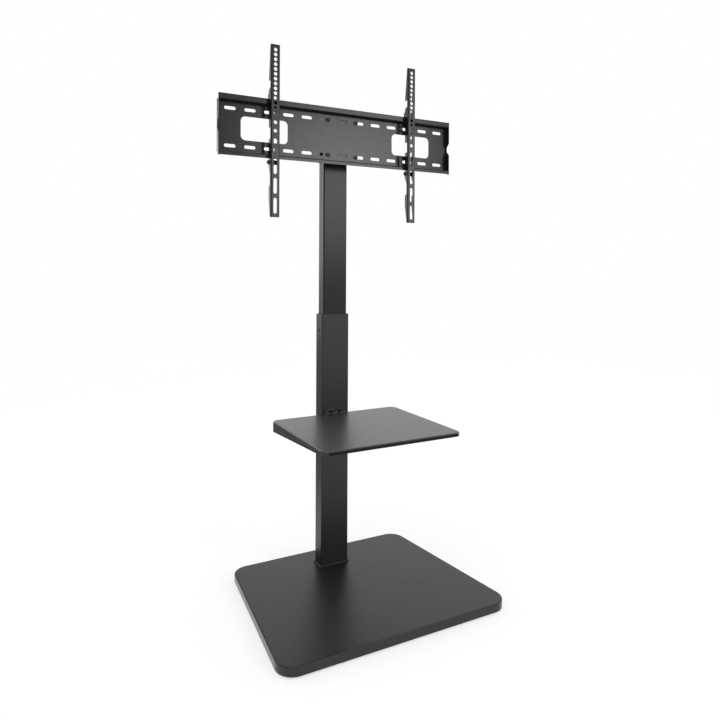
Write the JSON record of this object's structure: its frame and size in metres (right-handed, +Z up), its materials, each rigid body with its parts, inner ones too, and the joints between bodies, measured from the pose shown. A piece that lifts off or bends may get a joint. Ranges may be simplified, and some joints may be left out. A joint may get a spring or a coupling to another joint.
{
  "type": "tv stand with mount",
  "caption": "Floor stand for a television: flat base board, telescoping column, small shelf, slotted mount plate with folded lips and two perforated arms hooked over it.",
  "frame": {"origin": "on the floor under the middle of the base board", "axes": "+Z up along the column, +X to the right of someone who faces the screen, -Y towards that viewer"},
  "size_m": [0.678, 0.468, 1.3818],
  "materials": {
    "black_powder_coat": "satin",
    "black_lacquered_board": "satin",
    "black_screw": "satin",
    "zinc_plated_steel": "satin",
    "black_plastic": "matte",
    "black_rubber": "matte"
  },
  "bodies": {
    "stand": {"base_board": "black_lacquered_board", "base_feet": "black_rubber", "base_bolts": "zinc_plated_steel", "base_washers": "zinc_plated_steel", "foot_trim": "black_plastic", "column_foot_plate": "black_powder_coat", "outer_column": "black_powder_coat", "guide_sleeve": "black_plastic", "height_lock_screw": "black_screw", "lock_nut": "zinc_plated_steel", "shelf_tray": "black_powder_coat", "shelf_bracket": "black_powder_coat", "shelf_screws": "black_screw", "shelf_nuts": "zinc_plated_steel"},
    "head": {"inner_column": "black_powder_coat", "inner_glide": "black_plastic", "inner_top_cap": "black_plastic", "head_channel": "black_powder_coat", "head_through_bolts": "black_screw", "head_bolt_nuts": "black_screw", "face_plate": "black_powder_coat", "mount_plate": "black_powder_coat", "plate_bolts": "black_screw", "plate_washers": "black_screw", "plate_nuts": "zinc_plated_steel"},
    "left_arm_set": {"left_arm": "black_powder_coat", "left_lock_screw": "black_screw", "left_lock_sleeve": "black_plastic", "left_lock_nut": "black_screw"},
    "right_arm_set": {"right_arm": "black_powder_coat", "right_lock_screw": "black_screw", "right_lock_sleeve": "black_plastic", "right_lock_nut": "black_screw"}
  },
  "joints": [
    {"name": "column_height", "type": "slide", "parent": "stand", "child": "head", "axis": [0, 0, 1], "range_m": [-0.408, 0.095]},
    {"name": "left_arm_slide", "type": "slide", "parent": "head", "child": "left_arm_set", "axis": [1, 0, 0], "range_m": [-0.1, 0.15]},
    {"name": "right_arm_slide", "type": "slide", "parent": "head", "child": "right_arm_set", "axis": [1, 0, 0], "range_m": [-0.15, 0.1]}
  ]
}
